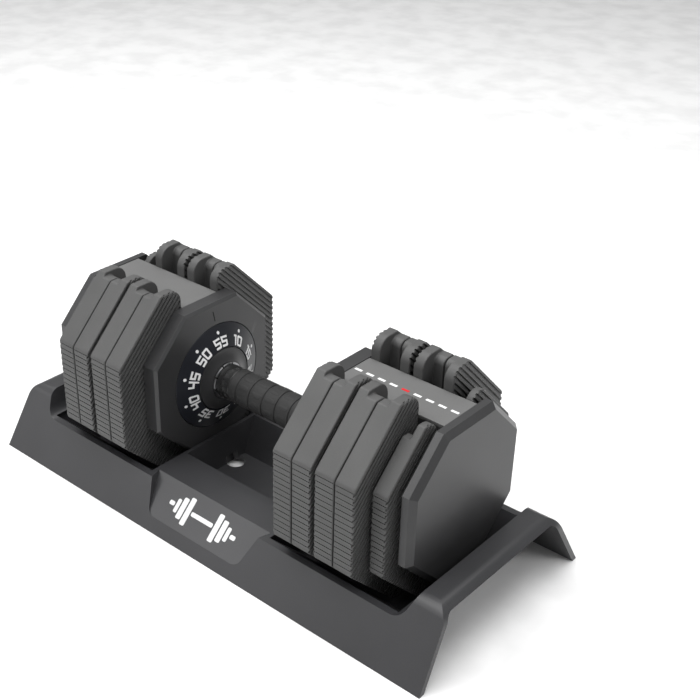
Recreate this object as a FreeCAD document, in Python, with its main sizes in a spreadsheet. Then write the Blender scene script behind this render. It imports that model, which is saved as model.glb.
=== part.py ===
"""Adjustable dumbbell resting in its tray, as a parametric FreeCAD document.

X runs along the handle, Y from front to back, Z up from the surface the tray stands on.
The origin is the centre of the tray's footprint. Millimetres and degrees throughout.
"""
import FreeCAD, Part
import os
import re
import Sketcher

# ---------------------------------------------------------------- driving dimensions
SIZES = {
    # tray
    "tray_length": 502.0, "tray_width": 223.0, "tray_height": 59.6,
    "tray_top_width": 152.0, "tray_end_lean": 3.8, "tray_wall": 5.0, "tray_bend": 14.0,
    "rim_height": 38.6, "saddle_end": 220.0, "saddle_foot": 211.8, "saddle_radius": 14.0,
    "skin": 3.0, "floor_gap": 1.2,
    "fence_middle": 70.3, "fence_thick": 3.6, "fence_draft": 0.4,
    "basin_end": 210.5, "basin_floor_end": 190.5,
    "basin_half": 82.0, "basin_floor_half": 47.0,
    "tub_front": 42.0, "tub_rear": 47.0, "tub_floor": 7.0,
    "tub_front_draft": 12.0, "tub_rear_draft": 19.5, "tub_end_draft": 5.5,
    "drain_radius": 9.0, "drain_end": 59.0, "drain_back": 11.0, "drain_depth": 14.0,
    "panel_top": 76.7, "panel_foot": 104.6, "panel_foot_height": 11.5,
    "panel_half": 68.0, "panel_foot_half": 54.0, "panel_corner": 10.0,
    "panel_depth": 55.0, "post_radius": 5.0, "foot_radius": 9.0, "foot_inset": 30.0,
    "foot_step": 32.0, "overrun": 1.0,
    # handle axis, flanges, caps and covers
    "axis_height": 103.4, "flange_width": 141.0, "flange_corner": 38.5,
    "flange_face": 72.9, "flange_thick": 15.6, "flange_bevel": 2.5,
    "dome_rise": 3.4, "dome_radius": 66.0, "dome_top_radius": 53.0,
    "cap_thick": 11.3, "cap_bevel": 4.8, "cap_gap": 5.8,
    "core_half": 21.4, "cover_thick": 3.0, "cover_drop": 0.6, "roof_gap": 2.0,
    # plates
    "plate_width": 193.0, "plate_corner": 56.0, "plate_drop": 2.4, "plate_thick": 19.1,
    "pair_gap": 1.0, "middle_gap": 3.8, "side_gap": 0.6,
    "small_width": 160.6, "small_height": 185.6, "small_corner": 55.4,
    "small_thick": 14.3, "small_gap": 3.6,
    "slot_gap": 0.5, "finger_drop": 4.8, "small_finger_drop": 13.1, "finger_round": 12.0,
    "shoulder_drop": 8.5, "small_shoulder_drop": 22.0, "shoulder_round": 6.5,
    # selector
    "disc_radius": 35.0, "disc_gap": 1.0, "disc_thick": 4.0, "disc_offset": 0.8,
    "cam_radius": 24.0, "lug_bite": 1.2, "lug_gap": 0.3, "lug_length": 6.5, "lug_height": 11.0,
    "cam_start": 72.0, "cam_lead": 15.0, "dial_step": 36.0,
    "shaft_radius": 6.0, "sleeve_radius": 11.0, "tube_radius": 14.5, "bush_radius": 18.0,
    "sleeve_lap": 22.5, "running": 0.05, "seat": 0.3, "rib_gap": 0.4,
    # grip, collars and dial
    "grip_radius": 16.4, "grip_end": 40.5, "grip_band": 15.6, "grip_groove": 1.2,
    "collar_radius": 16.0, "collar_end": 55.0, "trim_radius": 17.4, "trim_thick": 1.6,
    "dial_radius": 51.0, "dial_inner": 30.6, "dial_rise": 12.4, "dial_edge": 4.6,
    "dial_recess": 1.5, "dial_rim_gap": 0.5, "hub_groove": 0.8, "hub_mouth": 18.5,
    "hub_depth": 3.2, "waist_along": 0.45, "waist_out": 0.35,
    # turning lock and detent
    "ring_inner": 30.0, "ring_outer": 44.0, "ring_depth": 2.2, "notch_reach": 3.2,
    "notch_half": 2.8, "lock_radius": 3.0, "lock_travel": 3.5, "tooth_half": 2.4,
    "tooth_height": 3.8, "tooth_gap": 0.6, "lock_proud": 3.0, "lock_spring_room": 12.0,
    "spring_wire": 0.5, "ball_radius": 3.0, "ball_height": 38.0, "ball_proud": 2.1,
    "bore_floor": 2.5,
    # fasteners
    "screw_radius": 2.0, "screw_head": 3.6, "screw_head_thick": 2.2,
    "flange_screw_length": 21.0, "cap_screw_length": 20.0,
    "screw_side": 13.0, "screw_low": 44.0, "screw_high": 60.0,
    "washer_radius": 12.0, "washer_thick": 1.5, "nut_flats": 17.0, "nut_thick": 6.0,
    "nut_room": 13.5, "shaft_proud": 0.5,
}

# Sizes worked out from the driving ones, each written once.
DERIVED = {
    "plate_half": "plate_thick / 2",
    "small_half": "small_thick / 2",
    "plate_axis": "axis_height - plate_drop",
    "plate_low": "plate_axis - plate_width / 2",
    "finger_top": "plate_low + plate_width - finger_drop",
    "shoulder_top": "plate_low + plate_width - shoulder_drop",
    "small_finger_top": "plate_low + small_height - small_finger_drop",
    "small_shoulder_top": "plate_low + small_height - small_shoulder_drop",
    "above_all": "2 * axis_height + plate_width",
    "saddle_reach": "3 * tray_height",
    "tray_lean": "(tray_width - tray_top_width) / 2 / tray_height",
    "wall_shift": "tray_wall * sqrt(1 + (tray_lean)^2)",
    "flange_back": "flange_face + flange_thick",
    "flange_top": "axis_height + flange_width / 2",
    "flange_bottom": "axis_height - flange_width / 2",
    "start_1": "flange_back + side_gap",
    "start_2": "start_1 + plate_thick + pair_gap",
    "start_3": "start_2 + plate_thick + middle_gap",
    "start_4": "start_3 + plate_thick + pair_gap",
    "start_5": "start_4 + plate_thick + small_gap",
    "core_end": "start_5 + small_thick + cap_gap",
    "rib_face": "start_1 + plate_half",
    "end_face": "start_5 + small_half",
    "flange_screw_tip": "rib_face - flange_screw_length",
    "cap_screw_tip": "end_face + cap_screw_length",
    "cap_face": "core_end + cap_thick",
    "slot_half": "core_half + slot_gap",
    "wide_half": "disc_radius + disc_gap",
    "lug_inner": "disc_radius - lug_bite",
    "lug_low": "axis_height + sqrt((disc_radius + lug_gap)^2 - lug_inner^2)",
    "cover_top": "flange_top - cover_drop",
    "roof_top": "cover_top - cover_thick",
    "roof_low": "axis_height + disc_radius + roof_gap",
    "basin_floor": "plate_low - seat",
    "basin_under": "basin_floor - skin",
    "basin_inner": "fence_middle + fence_thick / 2",
    "tub_end": "fence_middle - fence_thick / 2",
    "lock_x": "flange_face + flange_thick / 2",
    "lock_foot": "flange_bottom - lock_proud",
    "tooth_low": "axis_height - ring_outer + tooth_gap",
    "tooth_top": "tooth_low + tooth_height",
    "tooth_front": "flange_face + dial_recess - ring_depth - seat / 2",
    "dial_back": "flange_face + dial_recess - seat",
    "dial_front": "flange_face - dial_rise",
    "ball_x": "flange_face + dial_recess - ball_proud + ball_radius",
    "ball_back": "ball_x + ball_radius",
    "bore_end": "flange_back - bore_floor",
    "tube_end": "flange_back - side_gap",
    "sleeve_start": "tube_end - sleeve_lap",
    "sleeve_end": "end_face - rib_gap",
    "shaft_end": "core_end + washer_thick + nut_thick + shaft_proud",
}

LEFT, RIGHT = -1, 1
SIDE_NAMES = {LEFT: "left", RIGHT: "right"}
HEAD_SIDES = (LEFT, RIGHT)
# How many 5 lb steps below full weight still carry each large plate.
LARGE_PLATE_STEPS = {1: 7, 2: 5, 3: 3, 4: 1}
SMALL_PLATE_STEPS = (0, 2, 4, 6, 8)
SMALL_PLATE = 5
DIAL_POSITIONS = 10
GRIP_GROOVES = 5
LOCK_TURNS = 6
DETENT_TURNS = 3
# Outlines of the two kinds of plate: width, height and corner cut.
LARGE_OUTLINE = ("plate_width", "plate_width", "plate_corner")
SMALL_OUTLINE = ("small_width", "small_height", "small_corner")

X_AXIS = FreeCAD.Vector(1, 0, 0)
Y_AXIS = FreeCAD.Vector(0, 1, 0)
Z_AXIS = FreeCAD.Vector(0, 0, 1)
ALONG_X = FreeCAD.Rotation(Y_AXIS, 90)
# Local X of a rod drawn along X points up, and its angles grow towards the front.
TOP_TO_FRONT = FreeCAD.Rotation(X_AXIS, 180) * ALONG_X
WEDGE_UP = FreeCAD.Rotation(X_AXIS, 90)
HALF_TURN = FreeCAD.Rotation(Z_AXIS, 180)

doc = FreeCAD.newDocument("AdjustableDumbbell")
sheet = doc.addObject("Spreadsheet::Sheet", "Sizes")
nodes = []


def fill_sheet():
    """Write every driving dimension into its own named cell."""
    for row, (alias, size) in enumerate(SIZES.items(), start=1):
        sheet.set(f"A{row}", alias)
        sheet.set(f"B{row}", str(size))
        sheet.setAlias(f"B{row}", alias)
    doc.recompute()


def spelled(formula):
    """Expand derived names until a formula holds only cells of the sheet."""
    def expand(match):
        word = match.group()
        if word in DERIVED:
            return f"({spelled(DERIVED[word])})"
        return f"Sizes.{word}" if word in SIZES else word
    return re.sub(r"[a-z]+(?:_[a-z0-9]+)*", expand, str(formula))


def number(formula):
    """The present value of a formula."""
    value = sheet.evalExpression(spelled(formula))
    return float(getattr(value, "Value", value))


def bind(piece, **formulas):
    """Bind properties of an object to formulas; x, y and z are its place."""
    for name, formula in formulas.items():
        path = f"Placement.Base.{name}" if name in ("x", "y", "z") else name
        piece.setExpression(path, spelled(formula))
    return piece


def span(side, low, high):
    """A stretch along X given for the right head, mirrored for the left one."""
    return (low, high) if side == RIGHT else (f"-({high})", f"-({low})")


def at(side, place):
    """A place along X given for the right head, mirrored for the left one."""
    return place if side == RIGHT else f"-({place})"


# ---------------------------------------------------------------- building blocks
def box(x, y, z):
    """A block between pairs of formulas."""
    piece = doc.addObject("Part::Box", "Block")
    bind(piece, Length=f"({x[1]}) - ({x[0]})", Width=f"({y[1]}) - ({y[0]})")
    return bind(piece, Height=f"({z[1]}) - ({z[0]})", x=x[0], y=y[0], z=z[0])


def rod(radius, x, y="0", z="axis_height"):
    """A cylinder along X."""
    piece = doc.addObject("Part::Cylinder", "Rod")
    piece.Placement.Rotation = ALONG_X
    return bind(piece, Radius=radius, Height=f"({x[1]}) - ({x[0]})", x=x[0], y=y, z=z)


def post(radius, x, y, z):
    """A cylinder along Z."""
    piece = doc.addObject("Part::Cylinder", "Post")
    return bind(piece, Radius=radius, Height=f"({z[1]}) - ({z[0]})", x=x, y=y, z=z[0])


def sector(radius, x, start, width):
    """A slice of a cylinder along X; its start is measured from the top towards the front."""
    piece = doc.addObject("Part::Cylinder", "Sector")
    piece.Placement.Rotation = FreeCAD.Rotation(X_AXIS, number(start)) * TOP_TO_FRONT
    bind(piece, Radius=radius, Height=f"({x[1]}) - ({x[0]})", Angle=width)
    return bind(piece, x=x[0], z="axis_height")


def cone(side, radii, x):
    """A flat cone along X that widens away from the handle."""
    piece = doc.addObject("Part::Cone", "Cone")
    piece.Placement.Rotation = ALONG_X
    low, high = radii if side == RIGHT else reversed(radii)
    bind(piece, Radius1=low, Radius2=high, Height=f"({x[1]}) - ({x[0]})")
    return bind(piece, x=x[0], z="axis_height")


def frustum(low_x, low_y, top_x, top_y, z):
    """A block whose walls lean: one rectangle at z[0] and another at z[1]."""
    piece = doc.addObject("Part::Wedge", "Frustum")
    piece.Placement.Rotation = WEDGE_UP
    bind(piece, Xmin=low_x[0], Xmax=low_x[1], X2min=top_x[0], X2max=top_x[1], Ymin=z[0], Ymax=z[1])
    bind(piece, Zmin=f"-({low_y[1]})", Zmax=f"-({low_y[0]})")
    return bind(piece, Z2min=f"-({top_y[1]})", Z2max=f"-({top_y[0]})")


def union(*pieces):
    """All pieces as one."""
    if len(pieces) == 1:
        return pieces[0]
    piece = doc.addObject("Part::MultiFuse", "Union")
    piece.Shapes = list(pieces)
    return piece


def cut(base, *tools):
    """A base with its tools taken away."""
    piece = doc.addObject("Part::Cut", "Cut")
    piece.Base = base
    piece.Tool = union(*tools)
    return piece


def eased(kind, base, size, wanted):
    """A fillet or chamfer of one size on the edges that a test picks out."""
    doc.recompute()
    amount = number(size)
    piece = doc.addObject(kind, "Eased")
    piece.Base = base
    picked = [place for place, edge in enumerate(base.Shape.Edges, start=1) if wanted(edge)]
    assert picked, f"no edge to ease on {base.Name}"
    piece.Edges = [(place, amount, amount) for place in picked]
    return piece


def near(a, b):
    """True where two lengths agree."""
    return abs(a - b) < 0.01


def octagon(width, height, corner, x, low):
    """An octagonal slab along X, standing on its lowest flat."""
    slab = box(x, (f"-{width} / 2", f"{width} / 2"), (low, f"{low} + {height}"))
    return eased("Part::Chamfer", slab, corner, lambda edge: runs_along(edge, X_AXIS))


def runs_along(edge, axis):
    """True for a straight edge parallel to an axis."""
    if len(edge.Vertexes) != 2:
        return False
    step = edge.Vertexes[1].Point - edge.Vertexes[0].Point
    return step.Length > 0.01 and near(abs(step.normalize().dot(axis)), 1.0)


def lies_at(edge, **places):
    """True where both ends of an edge have the given coordinates."""
    return all(near(abs(getattr(end.Point, key)), value)
               for end in edge.Vertexes for key, value in places.items())


def named(piece, label):
    """Give a finished sub-part the name of its file."""
    piece.Label = label
    nodes.append(piece)
    return piece


def origin_plane(body, role):
    """One of a body's own origin planes."""
    return next(plane for plane in body.Origin.OriginFeatures if plane.Role == role)


def profile_sketch(body, name, corners):
    """A closed outline on the body's XZ plane; corners are (along X, radius) formulas."""
    sketch = body.newObject("Sketcher::SketchObject", name)
    sketch.AttachmentSupport = (origin_plane(body, "XZ_Plane"), [""])
    sketch.MapMode = "FlatFace"
    points = [FreeCAD.Vector(number(along), number(radius), 0) for along, radius in corners]
    for place, point in enumerate(points):
        sketch.addGeometry(Part.LineSegment(point, points[(place + 1) % len(points)]))
    for place in range(len(points)):
        following = (place + 1) % len(points)
        sketch.addConstraint(Sketcher.Constraint("Coincident", place, 2, following, 1))
    for place, (along, radius) in enumerate(corners):
        for kind, formula in (("DistanceX", along), ("DistanceY", radius)):
            limit = sketch.addConstraint(Sketcher.Constraint(kind, -1, 1, place, 1, number(formula)))
            sketch.setExpression(f"Constraints[{limit}]", spelled(formula))
    return sketch


def turned(label, corners, side=RIGHT):
    """A body turned about the handle axis from its half outline."""
    body = doc.addObject("PartDesign::Body", "Turned")
    sketch = profile_sketch(body, "Outline", corners)
    turning = body.newObject("PartDesign::Revolution", "Turning")
    turning.Profile = sketch
    turning.ReferenceAxis = (sketch, ["H_Axis"])
    turning.Angle = 360
    if side == LEFT:
        body.Placement.Rotation = HALF_TURN
    bind(body, z="axis_height")
    return named(body, label)


# ---------------------------------------------------------------- tray
def tray_outside():
    """The leaning block that the tray's outer walls follow."""
    half = ("-tray_length / 2", "tray_length / 2")
    top = ("-tray_length / 2 + tray_end_lean", "tray_length / 2 - tray_end_lean")
    low_y = ("-tray_width / 2", "tray_width / 2")
    top_y = ("-tray_top_width / 2", "tray_top_width / 2")
    block = frustum(half, low_y, top, top_y, ("0", "tray_height"))
    height = number("tray_height")
    side = number("tray_top_width / 2")
    return eased("Part::Fillet", block, "tray_bend", lambda edge: lies_at(edge, z=height, y=side))


def tray_hollow():
    """The open underside of the bent sheet, before the basins are kept out of it."""
    low = "tray_width / 2 - wall_shift"
    top = f"{low} - tray_lean * (tray_height - tray_wall)"
    past = ("-tray_length", "tray_length")
    block = frustum(past, (f"-({low})", low), past, (f"-({top})", top), ("0", "tray_height - tray_wall"))
    height = number("tray_height - tray_wall")
    return eased("Part::Fillet", block, "tray_bend - tray_wall",
                 lambda edge: runs_along(edge, X_AXIS) and lies_at(edge, z=height))


def saddle(drop):
    """The dip between the two end flanges; a drop gives its underside instead."""
    slope = "(saddle_end - saddle_foot) / (tray_height - rim_height)"
    foot = f"saddle_foot + {drop}"
    top = f"{foot} + {slope} * saddle_reach"
    wide = ("-tray_width", "tray_width")
    level = f"rim_height - {drop}"
    low = (f"-({foot})", foot)
    high = (f"-({top})", top)
    block = frustum(low, wide, high, wide, (level, f"{level} + saddle_reach"))
    height = number(level)
    return eased("Part::Fillet", block, f"saddle_radius + {drop}",
                 lambda edge: runs_along(edge, Y_AXIS) and lies_at(edge, z=height))


def basin(side, grow):
    """The hollow that one head hangs in; grown by a skin it gives the hollow's outside."""
    past = "overrun / (rim_height - basin_floor)"
    inner_top = f"basin_inner - ({grow})"
    inner_low = f"basin_inner + fence_draft - ({grow})"
    low_x = span(side, inner_low, f"basin_floor_end + ({grow})")
    top_x = span(side, inner_top, f"basin_end + ({grow}) + (basin_end - basin_floor_end) * {past}")
    low_half = f"basin_floor_half + ({grow})"
    top_half = f"basin_half + ({grow}) + (basin_half - basin_floor_half) * {past}"
    z = (f"basin_floor - ({grow})", "rim_height + overrun")
    return frustum(low_x, (f"-({low_half})", low_half), top_x, (f"-({top_half})", top_half), z)


def tub(grow):
    """The middle hollow below the handle."""
    low = f"tub_end - tub_end_draft + ({grow})"
    top = f"tub_end + ({grow})"
    low_y = (f"-(tub_front - tub_front_draft) - ({grow})", f"tub_rear - tub_rear_draft + ({grow})")
    top_y = (f"-tub_front - ({grow})", f"tub_rear + ({grow})")
    z = (f"tub_floor - ({grow})", "rim_height")
    return frustum((f"-({low})", low), low_y, (f"-({top})", top), top_y, z)


def front_panel(grow):
    """The flat let into the front wall; grown by a skin it gives the flat's inside."""
    rise = "(rim_height - panel_foot_height)"
    run = "(panel_foot - panel_top)"
    piece = doc.addObject("Part::Wedge", "Panel")
    tilt = FreeCAD.Rotation(X_AXIS, number(f"atan({rise} / {run})"))
    piece.Placement.Rotation = tilt
    length = f"sqrt({rise}^2 + {run}^2)"
    foot = f"panel_foot_half + ({grow})"
    over = f"(panel_half - panel_foot_half) / ({length})"
    top = f"{foot} + {over} * 2 * ({length})"
    bind(piece, Xmin=f"-({foot})", Xmax=foot, X2min=f"-({top})", X2max=top)
    bind(piece, Ymin="0", Ymax=f"2 * ({length})", Zmin=f"-({grow})", Zmax="panel_depth")
    bind(piece, Z2min=f"-({grow})", Z2max="panel_depth", y="-panel_foot", z="panel_foot_height")
    normal = tilt.multVec(Z_AXIS)
    return eased("Part::Fillet", piece, "panel_corner",
                 lambda edge: runs_along(edge, normal) and is_foot(edge, tilt))


def is_foot(edge, tilt):
    """True for the panel's two lower corner edges."""
    upward = tilt.multVec(Y_AXIS)
    base = FreeCAD.Vector(0, -number("panel_foot"), number("panel_foot_height"))
    return near((edge.Vertexes[0].Point - base).dot(upward), 0)


def make_tray():
    """The moulded tray: a bent sheet with two basins, a tub and release posts."""
    body = cut(tray_outside(), saddle("0"))
    kept_out = [basin(side, "skin") for side in HEAD_SIDES] + [tub("skin"), front_panel("skin")]
    ceiling = cut(tray_hollow(), saddle("tray_wall"))
    hollow = cut(ceiling, *kept_out)
    openings = [basin(side, "0") for side in HEAD_SIDES] + [tub("0"), front_panel("0")]
    for side in HEAD_SIDES:
        openings.append(post("drain_radius", at(side, "drain_end"), "drain_back",
                             ("-overrun", "drain_depth")))
    shell = cut(body, hollow, *openings)
    posts = [post("post_radius", at(side, "lock_x"), "0", ("basin_under", "lock_foot - seat"))
             for side in HEAD_SIDES]
    return named(union(shell, *posts), "tray")


def make_feet():
    """Soft pads stuck under the basins."""
    pads = []
    for side in HEAD_SIDES:
        for place in ("basin_inner + foot_inset", "basin_floor_end - foot_inset"):
            for across in ("-foot_step", "foot_step"):
                pads.append(post("foot_radius", at(side, place), across, ("0", "basin_under")))
    return named(union(*pads), "rubber_feet")


# ---------------------------------------------------------------- heads
def screw_places():
    """Where each screw stands on a head: across and up."""
    return [(f"{sign}screw_side", f"axis_height + {height}")
            for sign in ("-", "") for height in ("screw_low", "screw_high")]


def make_inner_flange(side):
    """The octagonal guard that the dial turns against."""
    length = span(side, "flange_face", "flange_back")
    slab = octagon("flange_width", "flange_width", "flange_corner", length, "flange_bottom")
    face = number("flange_face")
    front = eased("Part::Chamfer", slab, "flange_bevel", lambda edge: lies_at(edge, x=face))
    dome = cone(side, ("dome_top_radius", "dome_radius"),
                span(side, "flange_face - dome_rise", "flange_face"))
    recess_x = span(side, "flange_face - dome_rise - overrun", "flange_face + dial_recess")
    slot_x = span(side, "tooth_front - seat", "lock_x")
    tools = [
        rod("dial_radius + dial_rim_gap", recess_x),
        rod("bush_radius", span(side, "flange_face - overrun", "flange_back + overrun")),
        post("lock_radius + running", at(side, "lock_x"), "0",
             ("flange_bottom - overrun", "tooth_top + lock_spring_room")),
        box(slot_x, ("-tooth_half - seat", "tooth_half + seat"),
            ("tooth_low - lock_travel - seat", "tooth_top + seat")),
        rod("ball_radius + running", span(side, "flange_face", "bore_end"), z="axis_height + ball_height"),
    ]
    for across, up in screw_places():
        hole = span(side, "flange_screw_tip", "flange_back + overrun")
        tools.append(rod("screw_radius", hole, across, up))
    return named(cut(union(front, dome), *tools), f"{SIDE_NAMES[side]}_inner_flange")


def make_core(side):
    """The spine of a head: a roof beam with ribs between the selector windows."""
    beam = box(span(side, "flange_back", "core_end"), ("-core_half", "core_half"),
               ("axis_height", "roof_top"))
    belly = rod("core_half", span(side, "flange_back", "core_end"))
    windows = [("rib_face", "start_2 + plate_half"),
               ("start_3 + plate_half", "start_4 + plate_half"),
               ("start_5", "end_face")]
    tools = [rod("sleeve_radius + rib_gap", span(side, "flange_back - overrun", "end_face")),
             rod("shaft_radius", span(side, "flange_back", "core_end + overrun"))]
    for low, high in windows:
        tools.append(box(span(side, low, high), ("-core_half - overrun", "core_half + overrun"),
                         ("axis_height - core_half - overrun", "roof_low")))
    for across, up in screw_places():
        inner = span(side, "flange_back - overrun", "rib_face - screw_head_thick")
        outer = span(side, "end_face + screw_head_thick", "core_end + overrun")
        inner_head = span(side, "rib_face - screw_head_thick", "rib_face + overrun")
        outer_head = span(side, "end_face - overrun", "end_face + screw_head_thick")
        tools += [rod("screw_radius", inner, across, up), rod("screw_radius", outer, across, up)]
        tools += [rod("screw_head", inner_head, across, up), rod("screw_head", outer_head, across, up)]
    return named(cut(union(beam, belly), *tools), f"{SIDE_NAMES[side]}_head_core")


def make_cover(side):
    """The flat strip that closes the top of a head."""
    strip = box(span(side, "flange_back", "core_end"), ("-core_half", "core_half"),
                ("roof_top", "cover_top"))
    return named(strip, f"{SIDE_NAMES[side]}_top_cover")


def make_end_cap(side):
    """The smooth octagonal outer guard."""
    length = span(side, "core_end", "cap_face")
    slab = octagon("flange_width", "flange_width", "flange_corner", length, "flange_bottom")
    face = number("cap_face")
    front = eased("Part::Chamfer", slab, "cap_bevel", lambda edge: lies_at(edge, x=face))
    tools = [rod("nut_room", span(side, "core_end - overrun", "shaft_end + seat"))]
    for across, up in screw_places():
        hole = span(side, "core_end - overrun", "cap_screw_tip")
        tools.append(rod("screw_radius", hole, across, up))
    return named(cut(front, *tools), f"{SIDE_NAMES[side]}_end_cap")


def make_screws(label, head_at, shank_to):
    """Eight screws, four in each head, with a head at one place and a shank up to another."""
    solids = []
    head_low, head_high = head_at
    shank_low, shank_high = shank_to
    for side in HEAD_SIDES:
        for across, up in screw_places():
            head = rod("screw_head", span(side, head_low, head_high), across, up)
            shank = rod("screw_radius", span(side, shank_low, shank_high), across, up)
            solids.append(union(head, shank))
    return named(union(*solids), label)


def make_bush(side):
    """The plain bush that the handle tube turns in."""
    length = span(side, "flange_face + dial_recess", "flange_back")
    return named(cut(rod("bush_radius", length), rod("tube_radius + running", length)),
                 f"{SIDE_NAMES[side]}_bush")


def coil(turn, place, turns, length, radius):
    """A coil spring of fine wire, as a swept helix."""
    wire = number("spring_wire")
    middle = number(radius) - wire
    rise = number(length)
    helix = Part.makeHelix(rise / turns, rise, middle)
    section = Part.Wire(Part.makeCircle(wire, FreeCAD.Vector(middle, 0, 0), Y_AXIS))
    piece = doc.addObject("Part::Feature", "Coil")
    piece.Shape = Part.Wire(helix.Edges).makePipeShell([section], True, False)
    piece.Placement = FreeCAD.Placement(place, turn)
    return piece


def make_lock_spring(side):
    """The spring above a lock pin, in its blind bore."""
    base = FreeCAD.Vector(number(at(side, "lock_x")), 0, number("tooth_top + spring_wire"))
    spring = coil(FreeCAD.Rotation(), base, LOCK_TURNS, "lock_spring_room - 2 * spring_wire",
                  "lock_radius - spring_wire")
    return named(spring, f"{SIDE_NAMES[side]}_lock_spring")


def make_lock_pin(side):
    """The pin that a tray post lifts, with the tooth that stops the dial."""
    pin = post("lock_radius", at(side, "lock_x"), "0", ("lock_foot", "tooth_top"))
    tooth = box(span(side, "tooth_front", "lock_x"), ("-tooth_half", "tooth_half"),
                ("tooth_low", "tooth_top"))
    return named(union(pin, tooth), f"{SIDE_NAMES[side]}_lock_pin")


def make_detent_balls():
    """One ball behind each dial."""
    balls = []
    for side in HEAD_SIDES:
        ball = doc.addObject("Part::Sphere", "Ball")
        balls.append(bind(ball, Radius="ball_radius", x=at(side, "ball_x"), z="axis_height + ball_height"))
    return named(union(*balls), "detent_balls")


def make_detent_springs():
    """The coil behind each ball."""
    coils = []
    for side in HEAD_SIDES:
        turn = ALONG_X if side == RIGHT else ALONG_X.inverted()
        place = FreeCAD.Vector(number(at(side, "ball_back")), 0, number("axis_height + ball_height"))
        coils.append(coil(turn, place, DETENT_TURNS, "bore_end - ball_back - spring_wire",
                          "ball_radius - spring_wire"))
    return named(union(*coils), "detent_springs")


def make_shaft():
    """The fixed steel shaft that ties both heads together."""
    return named(rod("shaft_radius", ("-(shaft_end)", "shaft_end")), "centre_shaft")


def make_shaft_washers():
    """A washer under each nut."""
    rings = []
    for side in HEAD_SIDES:
        length = span(side, "core_end", "core_end + washer_thick")
        rings.append(cut(rod("washer_radius", length), rod("shaft_radius", length)))
    return named(union(*rings), "shaft_washers")


def make_shaft_nuts():
    """The nut on each end of the shaft."""
    nuts = []
    for side in HEAD_SIDES:
        length = span(side, "core_end + washer_thick", "core_end + washer_thick + nut_thick")
        nut = doc.addObject("Part::Prism", "Nut")
        nut.Polygon = 6
        nut.Placement.Rotation = ALONG_X
        bind(nut, Circumradius="nut_flats / 2 / cos(30)", Height="nut_thick", x=length[0], z="axis_height")
        nuts.append(cut(nut, rod("shaft_radius", length)))
    return named(union(*nuts), "shaft_nuts")


# ---------------------------------------------------------------- plates
def softened(plate, half_gap, height, size):
    """Round a plate's arm tips: the edges along X at one height and one half width."""
    half = number(half_gap)
    level = number(height)
    return eased("Part::Fillet", plate, size, lambda edge: runs_along(edge, X_AXIS)
                 and near(abs(edge.Vertexes[0].Point.y), half) and near(edge.Vertexes[0].Point.z, level))


def layer(outline, x, half_gap, top):
    """One half of a plate's thickness: an octagon slotted from above round the head's core."""
    slab = octagon(*outline, x, "plate_low")
    slot = box(x, (f"-({half_gap})", half_gap), ("axis_height", "above_all"))
    bottom = rod(half_gap, x)
    lid = box(x, ("-plate_width", "plate_width"), (top, "above_all"))
    return cut(slab, slot, bottom, lid)


def make_plate(label, outline, tall_x, short_x, tops, lug_x):
    """A weight plate: tall arms beside the core in one half, short arms and a lug in the other."""
    tall_top, short_top = tops
    tall = softened(layer(outline, tall_x, "slot_half", tall_top), "slot_half", tall_top, "finger_round")
    short = softened(layer(outline, short_x, "wide_half", short_top), "wide_half", short_top,
                     "shoulder_round")
    lug = box(lug_x, ("-wide_half - overrun", "-(lug_inner)"), ("lug_low", "lug_low + lug_height"))
    return named(union(tall, short, lug), label)


def make_large_plate(side, place):
    """Plates 1 and 3 carry their tall arms on the inner half, plates 2 and 4 on the outer."""
    start = f"start_{place}"
    middle = f"{start} + plate_half"
    end = f"{start} + plate_thick"
    inner = span(side, start, middle)
    outer = span(side, middle, end)
    tall_inside = place % 2 == 1
    tall, short = (inner, outer) if tall_inside else (outer, inner)
    lug = (middle, f"{middle} + lug_length") if tall_inside else (f"{middle} - lug_length", middle)
    return make_plate(f"{SIDE_NAMES[side]}_plate_{place}", LARGE_OUTLINE, tall, short,
                      ("finger_top", "shoulder_top"), span(side, *lug))


def make_small_plate(side):
    """The light plate next to the end cap."""
    tall = span(side, "end_face", "start_5 + small_thick")
    short = span(side, "start_5", "end_face")
    lug = span(side, "end_face - lug_length", "end_face")
    return make_plate(f"{SIDE_NAMES[side]}_small_plate", SMALL_OUTLINE, tall, short,
                      ("small_finger_top", "small_shoulder_top"), lug)


# ---------------------------------------------------------------- selector
def disc_span(place):
    """Where the selector disc of a plate stands along X on the right head."""
    if place == SMALL_PLATE:
        start = "end_face - disc_offset - disc_thick"
    elif place % 2 == 1:
        start = f"start_{place} + plate_half + disc_offset"
    else:
        start = f"start_{place} + plate_half - disc_offset - disc_thick"
    return start, f"{start} + disc_thick"


def make_selector_disc(side, place):
    """A cam: full radius where its plate is carried, a smaller one where the plate stays behind."""
    length = span(side, *disc_span(place))
    parts = [rod("cam_radius", length)]
    if place == SMALL_PLATE:
        for steps in SMALL_PLATE_STEPS:
            parts.append(sector("disc_radius", length, f"cam_start + {steps} * dial_step", "cam_lead"))
    else:
        width = f"{LARGE_PLATE_STEPS[place]} * dial_step + cam_lead"
        parts.append(sector("disc_radius", length, "cam_start", width))
    disc = cut(union(*parts), rod("sleeve_radius", length))
    return named(disc, f"{SIDE_NAMES[side]}_selector_disc_{place}")


def make_selector_sleeve(side):
    """The sleeve that carries the discs and turns on the fixed shaft."""
    length = span(side, "sleeve_start", "sleeve_end")
    return named(cut(rod("sleeve_radius", length), rod("shaft_radius + running", length)),
                 f"{SIDE_NAMES[side]}_selector_sleeve")


def make_handle_tube():
    """The steel tube inside the grip."""
    length = ("-(tube_end)", "tube_end")
    return named(cut(rod("tube_radius", length), rod("sleeve_radius", length)), "handle_tube")


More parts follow.
